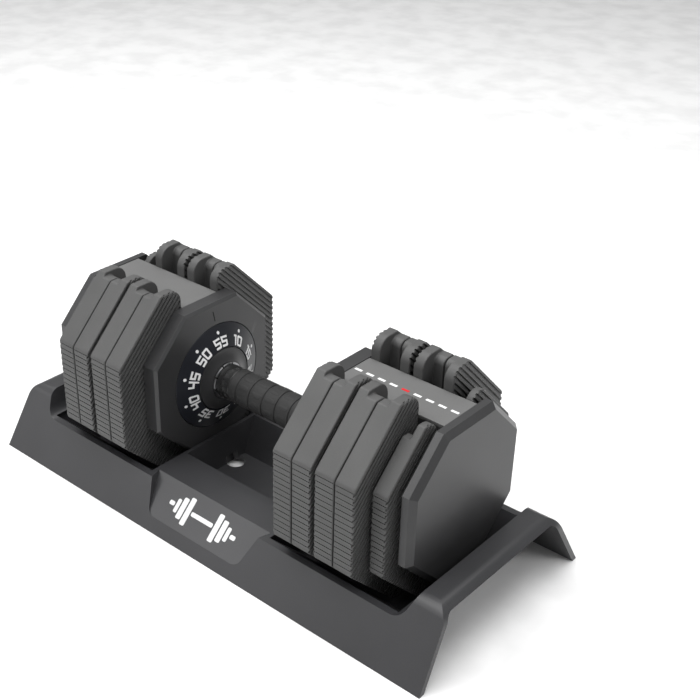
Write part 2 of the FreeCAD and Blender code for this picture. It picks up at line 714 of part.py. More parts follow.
def make_grip():
    """The moulded grip with ring grooves between its bands."""
    body = doc.addObject("PartDesign::Body", "Grip")
    corners = [("-grip_end", "tube_radius"), ("grip_end", "tube_radius"),
               ("grip_end", "grip_radius"), ("-grip_end", "grip_radius")]
    outline = profile_sketch(body, "Sleeve", corners)
    turning = body.newObject("PartDesign::Revolution", "Turning")
    turning.Profile = outline
    turning.ReferenceAxis = (outline, ["H_Axis"])
    turning.Angle = 360
    doc.recompute()
    whole = turning.Shape.Volume
    first = "-2 * grip_band"
    ring = [(f"{first} - grip_groove / 2", "grip_radius - grip_groove / 2"),
            (f"{first} + grip_groove / 2", "grip_radius - grip_groove / 2"),
            (f"{first} + grip_groove / 2", "grip_radius + overrun"),
            (f"{first} - grip_groove / 2", "grip_radius + overrun")]
    ring_sketch = profile_sketch(body, "Ring", ring)
    groove = body.newObject("PartDesign::Groove", "RingGroove")
    groove.Profile = ring_sketch
    groove.ReferenceAxis = (ring_sketch, ["H_Axis"])
    groove.Angle = 360
    doc.recompute()
    assert groove.Shape.Volume < whole - number("overrun"), "the grip's groove cuts nothing"
    repeat = body.newObject("PartDesign::LinearPattern", "Bands")
    repeat.Originals = [groove]
    repeat.Direction = (origin_axis(body, "X_Axis"), [""])
    repeat.Occurrences = GRIP_GROOVES
    repeat.setExpression("Length", spelled(f"{GRIP_GROOVES - 1} * grip_band"))
    body.Tip = repeat
    bind(body, z="axis_height")
    return named(body, "grip")


def origin_axis(body, role):
    """One of a body's own origin axes."""
    return next(axis for axis in body.Origin.OriginFeatures if axis.Role == role)


def make_collar(side):
    """The glossy ring between the grip and the dial's hub."""
    corners = [("grip_end", "tube_radius"), ("collar_end", "tube_radius"),
               ("collar_end", "collar_radius"), ("grip_end", "collar_radius")]
    return turned(f"{SIDE_NAMES[side]}_collar", corners, side)


def make_trim_ring(side):
    """The thin bright ring at the mouth of the hub."""
    corners = [("collar_end", "tube_radius"), ("collar_end + trim_thick", "tube_radius"),
               ("collar_end + trim_thick", "trim_radius"), ("collar_end", "trim_radius")]
    return turned(f"{SIDE_NAMES[side]}_trim_ring", corners, side)


def make_hub(side):
    """The flared boss inside the dial."""
    back = "dial_front + hub_depth"
    mouth = "(collar_end + trim_thick)"
    rim = "dial_inner - hub_groove"
    waist = (f"{mouth} + (dial_front - {mouth}) * waist_along",
             f"hub_mouth + ({rim} - hub_mouth) * waist_out")
    corners = [(mouth, "tube_radius"), (back, "tube_radius"), (back, rim), ("dial_front", rim), waist,
               (mouth, "hub_mouth")]
    return turned(f"{SIDE_NAMES[side]}_dial_hub", corners, side)


def make_dial(side):
    """The dished dial: a cone with a ring of lock notches behind it."""
    deep = "dial_front + hub_depth"
    corners = [(deep, "tube_radius"), ("dial_back", "tube_radius"), ("dial_back", "ring_inner"),
               ("dial_back - ring_depth", "ring_inner"), ("dial_back - ring_depth", "ring_outer"),
               ("dial_back", "ring_outer"), ("dial_back", "dial_radius"),
               ("dial_back - dial_edge", "dial_radius"), ("dial_front", "dial_inner"),
               (deep, "dial_inner")]
    body = doc.addObject("PartDesign::Body", "Dial")
    sketch = profile_sketch(body, "Outline", corners)
    turning = body.newObject("PartDesign::Revolution", "Turning")
    turning.Profile = sketch
    turning.ReferenceAxis = (sketch, ["H_Axis"])
    turning.Angle = 360
    if side == LEFT:
        body.Placement.Rotation = HALF_TURN
    bind(body, z="axis_height")
    notches = []
    for place in range(DIAL_POSITIONS):
        notch = doc.addObject("Part::Box", "Notch")
        turn = FreeCAD.Rotation(X_AXIS, place * number("dial_step"))
        notch.Placement.Rotation = turn
        low_x, high_x = span(side, "dial_back - ring_depth", "dial_back + overrun")
        bind(notch, Length=f"({high_x}) - ({low_x})", Width="2 * notch_half")
        bind(notch, Height="ring_outer + notch_reach", x=low_x)
        shift = turn.multVec(FreeCAD.Vector(0, -1, 0))
        bind(notch, y=f"notch_half * {shift.y:.9f}", z=f"axis_height + notch_half * {shift.z:.9f}")
        notches.append(notch)
    keep = cut(union(*notches), rod("ring_inner", span(side, "flange_face - dial_rise", "flange_back")))
    return named(cut(body, keep), f"{SIDE_NAMES[side]}_dial")


# ---------------------------------------------------------------- assembly
def build():
    """Make every sub-part."""
    fill_sheet()
    make_tray()
    make_feet()
    for side in HEAD_SIDES:
        for make in (make_inner_flange, make_core, make_cover, make_end_cap, make_bush,
                     make_lock_pin, make_lock_spring, make_small_plate, make_selector_sleeve,
                     make_collar, make_trim_ring, make_hub, make_dial):
            make(side)
        for place in LARGE_PLATE_STEPS:
            make_large_plate(side, place)
        for place in (*LARGE_PLATE_STEPS, SMALL_PLATE):
            make_selector_disc(side, place)
    make_screws("flange_screws", ("rib_face - screw_head_thick", "rib_face"),
                ("flange_screw_tip", "rib_face"))
    make_screws("cap_screws", ("end_face", "end_face + screw_head_thick"),
                ("end_face", "cap_screw_tip"))
    make_detent_balls()
    make_detent_springs()
    make_shaft()
    make_shaft_washers()
    make_shaft_nuts()
    make_handle_tube()
    make_grip()
    doc.recompute()


def check():
    """Stop if any object failed or any sub-part has no valid shape."""
    for piece in doc.Objects:
        assert not {"Invalid", "Error"} & set(piece.State), f"{piece.Name} failed: {piece.State}"
    for piece in nodes:
        assert not piece.Shape.isNull(), f"{piece.Label} has no shape"
        assert piece.Shape.isValid(), f"{piece.Label} is not valid"
        assert piece.Shape.Solids, f"{piece.Label} holds no solid"


def export():
    """Write each sub-part to its own STEP file."""
    os.makedirs("parts", exist_ok=True)
    for piece in nodes:
        piece.Shape.exportStep(f"parts/{piece.Label}.step")
        print(f"{piece.Label}: {len(piece.Shape.Solids)} solid(s), {piece.Shape.Volume / 1000:.2f} cm3")


build()
check()
export()
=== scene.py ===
"""Looks of an adjustable dumbbell resting in its tray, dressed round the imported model.

Shapes are worked out in millimetres and stored in metres. X runs along the handle, Y from front
to back and Z up from the surface that the tray stands on.
"""
import logging
import math
from dataclasses import dataclass, field
from enum import Enum
from typing import Callable, Iterable, Sequence

import bmesh
import bpy
from mathutils import Matrix, Vector


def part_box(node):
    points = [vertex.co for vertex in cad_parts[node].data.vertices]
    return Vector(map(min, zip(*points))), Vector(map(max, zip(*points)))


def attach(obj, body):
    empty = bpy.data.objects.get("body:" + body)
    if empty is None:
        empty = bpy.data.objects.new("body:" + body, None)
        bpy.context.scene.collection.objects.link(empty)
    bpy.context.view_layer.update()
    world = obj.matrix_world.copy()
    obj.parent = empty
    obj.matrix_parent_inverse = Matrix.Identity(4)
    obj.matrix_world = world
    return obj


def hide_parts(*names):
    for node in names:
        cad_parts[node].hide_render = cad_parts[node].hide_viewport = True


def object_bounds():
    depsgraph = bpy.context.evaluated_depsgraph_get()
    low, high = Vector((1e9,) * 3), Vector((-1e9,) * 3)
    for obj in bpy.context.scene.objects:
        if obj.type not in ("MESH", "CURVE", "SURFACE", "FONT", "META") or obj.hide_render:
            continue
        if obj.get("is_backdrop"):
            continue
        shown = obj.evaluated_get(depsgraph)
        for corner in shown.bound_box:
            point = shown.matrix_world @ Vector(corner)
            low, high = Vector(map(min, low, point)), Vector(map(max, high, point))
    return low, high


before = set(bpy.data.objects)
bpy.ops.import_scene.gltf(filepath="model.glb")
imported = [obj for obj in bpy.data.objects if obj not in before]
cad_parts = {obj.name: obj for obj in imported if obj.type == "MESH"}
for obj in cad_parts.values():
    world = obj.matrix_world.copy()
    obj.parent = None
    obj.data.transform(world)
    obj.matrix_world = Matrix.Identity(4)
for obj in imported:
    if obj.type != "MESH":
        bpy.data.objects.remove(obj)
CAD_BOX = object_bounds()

LOG = logging.getLogger("dumbbell")
MM = 0.001
# Height of the handle's axis, radius of the bore round its tube, depth of a print's root.
HANDLE_AXIS = 103.4
BORE = 14.5
SUNK = 0.5

Point2 = tuple[float, float]
Point3 = tuple[float, float, float]
Face = tuple[int, ...]
Tree = bpy.types.NodeTree
Socket = bpy.types.NodeSocket
Links = dict[str | int, object]
Piece = bpy.types.Object


class Side(Enum):
    """The two heads, by the sign of their place along X."""

    LEFT = -1
    RIGHT = 1

    @property
    def prefix(self) -> str:
        """The word that starts the names of this side's pieces."""
        return self.name.lower()


# ---- finishes
DRIFT_SIZE = 45.0
DRIFT_EDGES = (0.3, 0.7)
SPECK_EDGES = (0.35, 0.6)
SPECK_DARK = 0.72
SPECK_SHARE = 0.35
GLOSS_SWING = 0.07
LEAST_ROUGH = 0.02


def feed(tree: Tree, node: bpy.types.Node, links: Links) -> None:
    """Link or set a node's inputs.

    Args:
        tree: The tree that the node is in.
        node: The node.
        links: What each input takes: another node's socket, or a value.
    """
    for key, source in links.items():
        if isinstance(source, Socket):
            tree.links.new(source, node.inputs[key])
        else:
            node.inputs[key].default_value = source


def add_node(tree: Tree, kind: str, links: Links | None = None, **settings: str) -> bpy.types.Node:
    """Add a node to a tree.

    Args:
        tree: The tree.
        kind: The node's type.
        links: As in feed.
        settings: The node's own options.

    Returns:
        The node.
    """
    made = tree.nodes.new(kind)
    for option, value in settings.items():
        setattr(made, option, value)
    feed(tree, made, links or {})
    return made


@dataclass(frozen=True)
class Finish:
    """A moulded, coated or bare surface.

    Args:
        name: The material's name.
        colour: Linear base colour.
        rough: Mean roughness.
        grain: Size of the fine surface grain, in millimetres.
        relief: Height of that grain, in millimetres.
        mottle: Share by which the colour drifts over the piece.
        metal: How metallic it is.
        sheen: Weight of a soft sheen.
        brushed: Stretches the grain along X, as on a turned or drawn piece.
        shine: Level of its reflections.
    """

    name: str
    colour: Point3
    rough: float
    grain: float
    relief: float
    mottle: float
    metal: float = 0.0
    sheen: float = 0.0
    brushed: float = 1.0
    shine: float = 0.32

    def material(self) -> bpy.types.Material:
        """The node material of this finish, made once.

        Returns:
            The material.
        """
        made = bpy.data.materials.get(self.name)
        if made:
            return made
        made = bpy.data.materials.new(self.name)
        made.use_nodes = True
        made.diffuse_color = (*self.colour, 1.0)
        self._wire(made.node_tree)
        return made

    def _wire(self, tree: Tree) -> None:
        """Build the shader.

        Args:
            tree: The material's own node tree.
        """
        place = add_node(tree, "ShaderNodeTexCoord").outputs["Object"]
        stretch = add_node(tree, "ShaderNodeMapping",
                           {"Scale": (1.0 / self.brushed, 1.0, 1.0), "Vector": place}).outputs["Vector"]
        drift, grain = (
            add_node(tree, "ShaderNodeTexNoise",
                     {"Scale": 1.0 / (size * MM), "Detail": detail, "Vector": vector}).outputs["Fac"]
            for size, detail, vector in ((DRIFT_SIZE, 2.0, place), (self.grain, 3.0, stretch)))
        drifted = [[part * (1.0 + swing) for part in self.colour]
                   for swing in (-self.mottle, self.mottle)]
        speck = add_node(tree, "ShaderNodeMix",
                         {0: SPECK_SHARE, 6: self._ramp(tree, drift, DRIFT_EDGES, drifted),
                          7: self._ramp(tree, grain, SPECK_EDGES, [[SPECK_DARK] * 3, [1.0] * 3])},
                         data_type="RGBA", blend_type="MULTIPLY")
        gloss = add_node(tree, "ShaderNodeMapRange",
                         {"To Min": max(LEAST_ROUGH, self.rough - GLOSS_SWING),
                          "To Max": min(1.0, self.rough + GLOSS_SWING), "Value": grain})
        bump = add_node(tree, "ShaderNodeBump",
                        {"Strength": 1.0, "Distance": self.relief * MM, "Height": grain})
        feed(tree, tree.nodes["Principled BSDF"],
             {"Metallic": self.metal, "Specular IOR Level": self.shine, "Sheen Weight": self.sheen,
              "Base Color": speck.outputs[2], "Roughness": gloss.outputs["Result"],
              "Normal": bump.outputs["Normal"]})

    @staticmethod
    def _ramp(tree: Tree, factor: Socket, edges: Point2, colours: Sequence[Sequence[float]]) -> Socket:
        """Two colours, blended between two values of a field.

        Args:
            tree: The tree to build in.
            factor: The field.
            edges: Where the first colour ends and the second starts.
            colours: The two colours.

        Returns:
            The socket with the colour.
        """
        ramp = add_node(tree, "ShaderNodeValToRGB", {"Fac": factor})
        for stop, edge, colour in zip(ramp.color_ramp.elements, edges, colours):
            stop.position, stop.color = edge, (*colour, 1.0)
        return ramp.outputs["Color"]


PLATE_COATING = Finish("plate_coating", (0.074, 0.074, 0.0735), 0.50, 0.7, 0.035, 0.07)
GUARD_PLASTIC = Finish("guard_plastic", (0.033, 0.033, 0.034), 0.34, 0.6, 0.02, 0.10, shine=0.42)
COVER_PLASTIC = Finish("cover_plastic", (0.120, 0.120, 0.119), 0.45, 0.6, 0.025, 0.06)
TRAY_PLASTIC = Finish("tray_plastic", (0.034, 0.034, 0.0365), 0.36, 0.9, 0.03, 0.07, shine=0.5)
DIAL_PLASTIC = Finish("dial_plastic", (0.009, 0.010, 0.014), 0.38, 0.5, 0.015, 0.10)
HUB_PLASTIC = Finish("hub_plastic", (0.030, 0.030, 0.031), 0.34, 0.5, 0.015, 0.08)
GRIP_RUBBER = Finish("grip_rubber", (0.016, 0.016, 0.016), 0.62, 0.7, 0.22, 0.30)
GLOSS_BLACK = Finish("gloss_black", (0.004, 0.004, 0.004), 0.14, 2.0, 0.004, 0.05, shine=0.25)
BRIGHT_METAL = Finish("bright_metal", (0.34, 0.34, 0.35), 0.30, 0.6, 0.004, 0.05, metal=1.0, brushed=6.0)
BARE_STEEL = Finish("bare_steel", (0.40, 0.40, 0.41), 0.34, 0.4, 0.006, 0.06, metal=1.0, brushed=8.0)
ZINC = Finish("zinc_screws", (0.33, 0.33, 0.34), 0.42, 0.5, 0.010, 0.08, metal=1.0)
BRONZE = Finish("bronze_bush", (0.42, 0.27, 0.10), 0.40, 0.5, 0.010, 0.08, metal=1.0)
CAM_PLASTIC = Finish("cam_plastic", (0.035, 0.035, 0.038), 0.35, 0.7, 0.012, 0.07)
FOOT_RUBBER = Finish("foot_rubber", (0.020, 0.020, 0.020), 0.80, 0.7, 0.05, 0.10, sheen=0.1)
WHITE_PRINT = Finish("white_print", (0.72, 0.72, 0.72), 0.50, 0.5, 0.006, 0.02)
RED_PRINT = Finish("red_print", (0.55, 0.012, 0.016), 0.40, 0.5, 0.006, 0.03)
ENGRAVING = Finish("engraving", (0.008, 0.008, 0.008), 0.70, 0.5, 0.010, 0.05)
FLOOR_PAINT = Finish("floor_paint", (0.86, 0.86, 0.86), 0.75, 60.0, 0.0, 0.01, shine=0.2)


# ---- shapes
@dataclass
class Shape:
    """A surface: points in millimetres and faces by index."""

    points: list[Point3] = field(default_factory=list)
    faces: list[Face] = field(default_factory=list)

    def add(self, other: "Shape") -> None:
        """Take in another shape's surface.

        Args:
            other: The shape to take in.
        """
        first = len(self.points)
        self.points += other.points
        self.faces += [tuple(first + corner for corner in face) for face in other.faces]


def rounded(corners: Sequence[Point2], radii: Sequence[float], steps: int = 5) -> list[Point2]:
    """Round the corners of an outline.

    Args:
        corners: The outline's corners in order.
        radii: One radius per corner; 0 keeps the corner.
        steps: Stretches per rounded corner.

    Returns:
        The outline with arcs in place of its rounded corners.
    """
    outline: list[Point2] = []
    count = len(corners)
    for place, radius in enumerate(radii):
        corner = Vector(corners[place])
        if radius <= 0.0:
            outline.append(corners[place])
            continue
        back = (Vector(corners[place - 1]) - corner).normalized()
        ahead = (Vector(corners[(place + 1) % count]) - corner).normalized()
        half = math.acos(max(-1.0, min(1.0, back.dot(ahead)))) / 2
        centre = corner + (back + ahead).normalized() * (radius / math.sin(half))
        start = corner + back * (radius / math.tan(half)) - centre
        end = corner + ahead * (radius / math.tan(half)) - centre
        sweep = start.angle_signed(end)
        for step in range(steps + 1):
            arm = start.copy()
            arm.rotate(Matrix.Rotation(-sweep * step / steps, 2))
            outline.append(tuple(centre + arm))
    return outline


def loft(rings: Sequence[Sequence[Point3]], endless: bool = False) -> Shape:
    """Rings of as many points each, joined in order.

    Args:
        rings: The rings.
        endless: Join the last ring to the first, in place of a face across each end.

    Returns:
        The closed shape, its first two faces being those across the ends.
    """
    count, last = len(rings[0]), len(rings) - 1
    faces: list[Face] = []
    if not endless:
        faces = [tuple(reversed(range(count))), tuple(range(last * count, (last + 1) * count))]
    for ring in range(last + endless):
        ahead = (ring + 1) % len(rings)
        for place in range(count):
            other = (place + 1) % count
            faces.append((ring * count + place, ring * count + other,
                          ahead * count + other, ahead * count + place))
    return Shape([point for ring in rings for point in ring], faces)


def prism(outline: Sequence[Point2], low: float, high: float) -> Shape:
    """An outline in Y and Z drawn out along X, from low to high."""
    return loft([[(x, y, z) for y, z in outline] for x in (low, high)])


def oblong(low: Point2, high: Point2) -> list[Point2]:
    """The corners of a rectangle, from its lowest to its highest corner and back."""
    return [low, (high[0], low[1]), high, (low[0], high[1])]


def block(low: Point3, high: Point3) -> Shape:
    """A plain block between two corners."""
    return prism(oblong(low[1:], high[1:]), low[0], high[0])


def turned(profile: Sequence[Point2], axis: float, segments: int = 128) -> Shape:
    """A ring turned about the handle axis.

    Args:
        profile: Closed half outline, as (X, radius).
        axis: Height of the handle axis.
        segments: Facets round the axis.

    Returns:
        The closed ring.
    """
    angles = [math.tau * place / segments for place in range(segments)]
    return loft([[(x, r * math.sin(angle), axis + r * math.cos(angle)) for x, r in profile]
                 for angle in angles], endless=True)


# ---- from shape to piece
RAW_MERGE = 0.002
CAD_MERGE = 0.004
CUT_MERGE = 0.01
FLAT_ANGLE = 0.6


def cleaned(mesh: bpy.types.Mesh, merge: float, work: Callable[[bmesh.types.BMesh], object]) -> None:
    """Merge a mesh's points and work on it.

    Args:
        mesh: The mesh.
        merge: Points closer than this become one, in millimetres.
        work: What is then done to it.
    """
    bench = bmesh.new()
    bench.from_mesh(mesh)
    bmesh.ops.remove_doubles(bench, verts=bench.verts, dist=merge * MM)
    work(bench)
    bench.to_mesh(mesh)
    bench.free()


def raw_object(name: str, shape: Shape, side: Side | None = None) -> Piece:
    """A mesh object of a shape, in metres, its surface facing out.

    Args:
        name: The object's name.
        shape: Its surface, in millimetres, as it is in the right head.
        side: The head that it is for; its name goes before the object's, and the left one mirrors X.

    Returns:
        The object, in the scene.
    """
    name, turn = (f"{side.prefix}_{name}", side.value) if side else (name, 1)
    mesh = bpy.data.meshes.new(name)
    mesh.from_pydata([(x * MM * turn, y * MM, z * MM) for x, y, z in shape.points], [], shape.faces)
    cleaned(mesh, RAW_MERGE, lambda bench: bmesh.ops.recalc_face_normals(bench, faces=bench.faces))
    made = bpy.data.objects.new(name, mesh)
    bpy.context.scene.collection.objects.link(made)
    return made


def settled(made: Piece) -> Piece:
    """Turn an object's modifiers into plain mesh.

    Args:
        made: The object.

    Returns:
        The same object.
    """
    result = bpy.data.meshes.new_from_object(made.evaluated_get(bpy.context.evaluated_depsgraph_get()))
    made.modifiers.clear()
    made.data = result
    return made


def eased(made: Piece, width: float, angle: float = 30.0, segments: int = 3) -> Piece:
    """Round an object's sharp edges.

    Args:
        made: The object.
        width: Width of the rounding, in millimetres.
        angle: Least turn of an edge that is rounded, in degrees.
        segments: Stretches across the rounding.

    Returns:
        The same object, as plain mesh.
    """
    bevel = made.modifiers.new("Eased", "BEVEL")
    bevel.width = width * MM
    bevel.segments = segments
    bevel.limit_method = "ANGLE"
    bevel.angle_limit = math.radians(angle)
    bevel.miter_outer = "MITER_ARC"
    return settled(made)


def finished(made: Piece, finish: Finish, body: str, slot: str, replaced: Iterable[str] = (),
             smooth: float = 32.0) -> Piece:
    """Dress an object and hang it on its body.

    Args:
        made: The object.
        finish: What its surface is.
        body: The body that it moves with.
        slot: The record's material slot; not used.
        replaced: CAD nodes that it stands for.
        smooth: Edges that turn less than this many degrees are shaded smooth.

    Returns:
        The finished piece.
    """
    made.data.shade_smooth()
    made.data.set_sharp_from_angle(angle=math.radians(smooth))
    weigh = made.modifiers.new("Weighted", "WEIGHTED_NORMAL")
    weigh.keep_sharp = True
    settled(made)
    made.data.materials.clear()
    made.data.materials.append(finish.material())
    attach(made, body)
    if replaced:
        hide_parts(*replaced)
    LOG.info("%s: %d faces, on %s", made.name, len(made.data.polygons), body)
    return made


def raised(made: Piece, height: float) -> None:
    """Lift an object's mesh by a height in millimetres."""
    made.data.transform(Matrix.Translation((0.0, 0.0, height * MM)))


def cad_copy(node: str) -> Piece:
    """A merged copy of a CAD node, its flat faces made whole.

    Args:
        node: The node.

    Returns:
        The copy, in the scene.
    """
    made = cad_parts[node].copy()
    made.name = f"{node}_dressed"
    made.parent = None
    made.matrix_world = Matrix.Identity(4)
    made.hide_render = made.hide_viewport = False
    made.data = made.data.copy()
    bpy.context.scene.collection.objects.link(made)
    cleaned(made.data, CAD_MERGE, lambda bench: bmesh.ops.dissolve_limit(
        bench, angle_limit=math.radians(FLAT_ANGLE), verts=bench.verts, edges=bench.edges,
        use_dissolve_boundaries=False))
    return made


def dress_node(node: str, finish: Finish) -> None:
    """Give a CAD node that keeps its shape its finish.

    Args:
        node: The node.
        finish: What its surface is.
    """
    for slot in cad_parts[node].material_slots:
        slot.material = finish.material()
    LOG.info("%s keeps its shape, finished in %s", node, finish.name)


def box_of(node: str) -> tuple[Vector, Vector]:
    """A CAD node's lowest and highest corners, in millimetres."""
    low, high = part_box(node)
    return low / MM, high / MM


def span_of(node: str) -> Point3:
    """A node's least and greatest distance from the middle along X, and its half width.

    Args:
        node: The CAD node.

    Returns:
        The three lengths, in millimetres.
    """
    low, high = box_of(node)
    near, far = sorted((abs(low.x), abs(high.x)))
    return near, far, high.y


# ---- repeating trees
class NodeRecipe:
    """A Geometry Nodes tree with named inputs."""

    def __init__(self, name: str, inputs: dict[str, str]) -> None:
        """Start the tree.

        Args:
            name: The tree's name.
            inputs: Socket type by input name, besides the geometry and its material.
        """
        self.tree = bpy.data.node_groups.new(name, "GeometryNodeTree")
        self.tree.interface.new_socket("Geometry", in_out="INPUT", socket_type="NodeSocketGeometry")
        for title, kind in {**inputs, "Material": "Material"}.items():
            self.tree.interface.new_socket(title, in_out="INPUT", socket_type=f"NodeSocket{kind}")
        self.tree.interface.new_socket("Geometry", in_out="OUTPUT", socket_type="NodeSocketGeometry")
        self.start = self.tree.nodes.new("NodeGroupInput").outputs
        self.finish = self.tree.nodes.new("NodeGroupOutput")

    def node(self, kind: str, links: Links | None = None, **settings: str) -> Socket:
        """Add a node to the tree, as add_node does, and give its first output."""
        return add_node(self.tree, kind, links, **settings).outputs[0]

    def maths(self, operation: str, first: Socket | float, second: Socket | float = 0.0) -> Socket:
        """The result of one sum."""
        return self.node("ShaderNodeMath", {0: first, 1: second}, operation=operation)

    def copies(self, points: Socket, instance: Socket, turn: Socket) -> Socket:
        """Stand a copy on each point.

        Args:
            points: The points.
            instance: What is copied.
            turn: Each copy's turn about X, in radians.

        Returns:
            The copies, made real.
        """
        swing = self.node("ShaderNodeCombineXYZ", {0: turn})
        placed = self.node("GeometryNodeInstanceOnPoints",
                           {"Points": points, "Instance": instance, "Rotation": swing})
        return self.node("GeometryNodeRealizeInstances", {0: placed})

    def close(self, geometry: Socket) -> None:
        """End the tree with its material set."""
        links = {"Geometry": geometry, "Material": self.start["Material"]}
        feed(self.tree, self.finish, {"Geometry": self.node("GeometryNodeSetMaterial", links)})

    def run(self, made: Piece, finish: Finish, **values: object) -> None:
        """Apply the tree to an object, which becomes plain mesh.

        Args:
            made: The object.
            finish: What its surface is.
            values: The tree's other inputs.
        """
        modifier = made.modifiers.new(self.tree.name, "NODES")
        modifier.node_group = self.tree
        values["Material"] = finish.material()
        for item in self.tree.interface.items_tree:
            if item.in_out == "INPUT" and item.name in values:
                modifier[item.identifier] = values[item.name]
        settled(made)


class RoundHandle(NodeRecipe):
    """Repeats a shape round the X axis, in rows along it."""

    def __init__(self) -> None:
        """Build the tree."""
        super().__init__("round_handle", {"Rows": "Int", "Around": "Int", "Pitch": "Float",
                                          "Stagger": "Float"})
        rows, around = self.start["Rows"], self.start["Around"]
        total = self.maths("MULTIPLY", rows, around)
        line = self.node("GeometryNodeMeshLine", {"Count": total, "Offset": (0.0, 0.0, 0.0)})
        index = self.node("GeometryNodeInputIndex")
        row = self.maths("FLOOR", self.maths("DIVIDE", self.maths("ADD", index, 0.5), around))
        step = self.maths("DIVIDE", math.tau, around)
        turn = self.maths("ADD", self.maths("MULTIPLY", index, step),
                          self.maths("MULTIPLY", row, self.start["Stagger"]))
        place = self.node("ShaderNodeCombineXYZ", {0: self.maths("MULTIPLY", row, self.start["Pitch"])})
        points = self.node("GeometryNodeSetPosition", {"Geometry": line, "Offset": place})
        self.close(self.copies(points, self.start["Geometry"], turn))


class GrooveField(NodeRecipe):
    """Cuts evenly spaced straight grooves into a piece, across X."""

    def __init__(self) -> None:
        """Build the tree."""
        super().__init__("groove_field", {"Count": "Int", "Turn": "Float", "Start": "Vector",
                                          "Step": "Vector", "Cutter": "Vector"})
        first, step = self.start["Start"], self.start["Step"]
        line = self.node("GeometryNodeMeshLine",
                         {"Count": self.start["Count"], "Offset": step, "Start Location": first})
        cutter = self.node("GeometryNodeMeshCube", {"Size": self.start["Cutter"]})
        grooves = self.copies(line, cutter, self.start["Turn"])
        self.close(self.node("GeometryNodeMeshBoolean", {0: self.start["Geometry"], 1: grooves},
                             operation="DIFFERENCE", solver="MANIFOLD"))


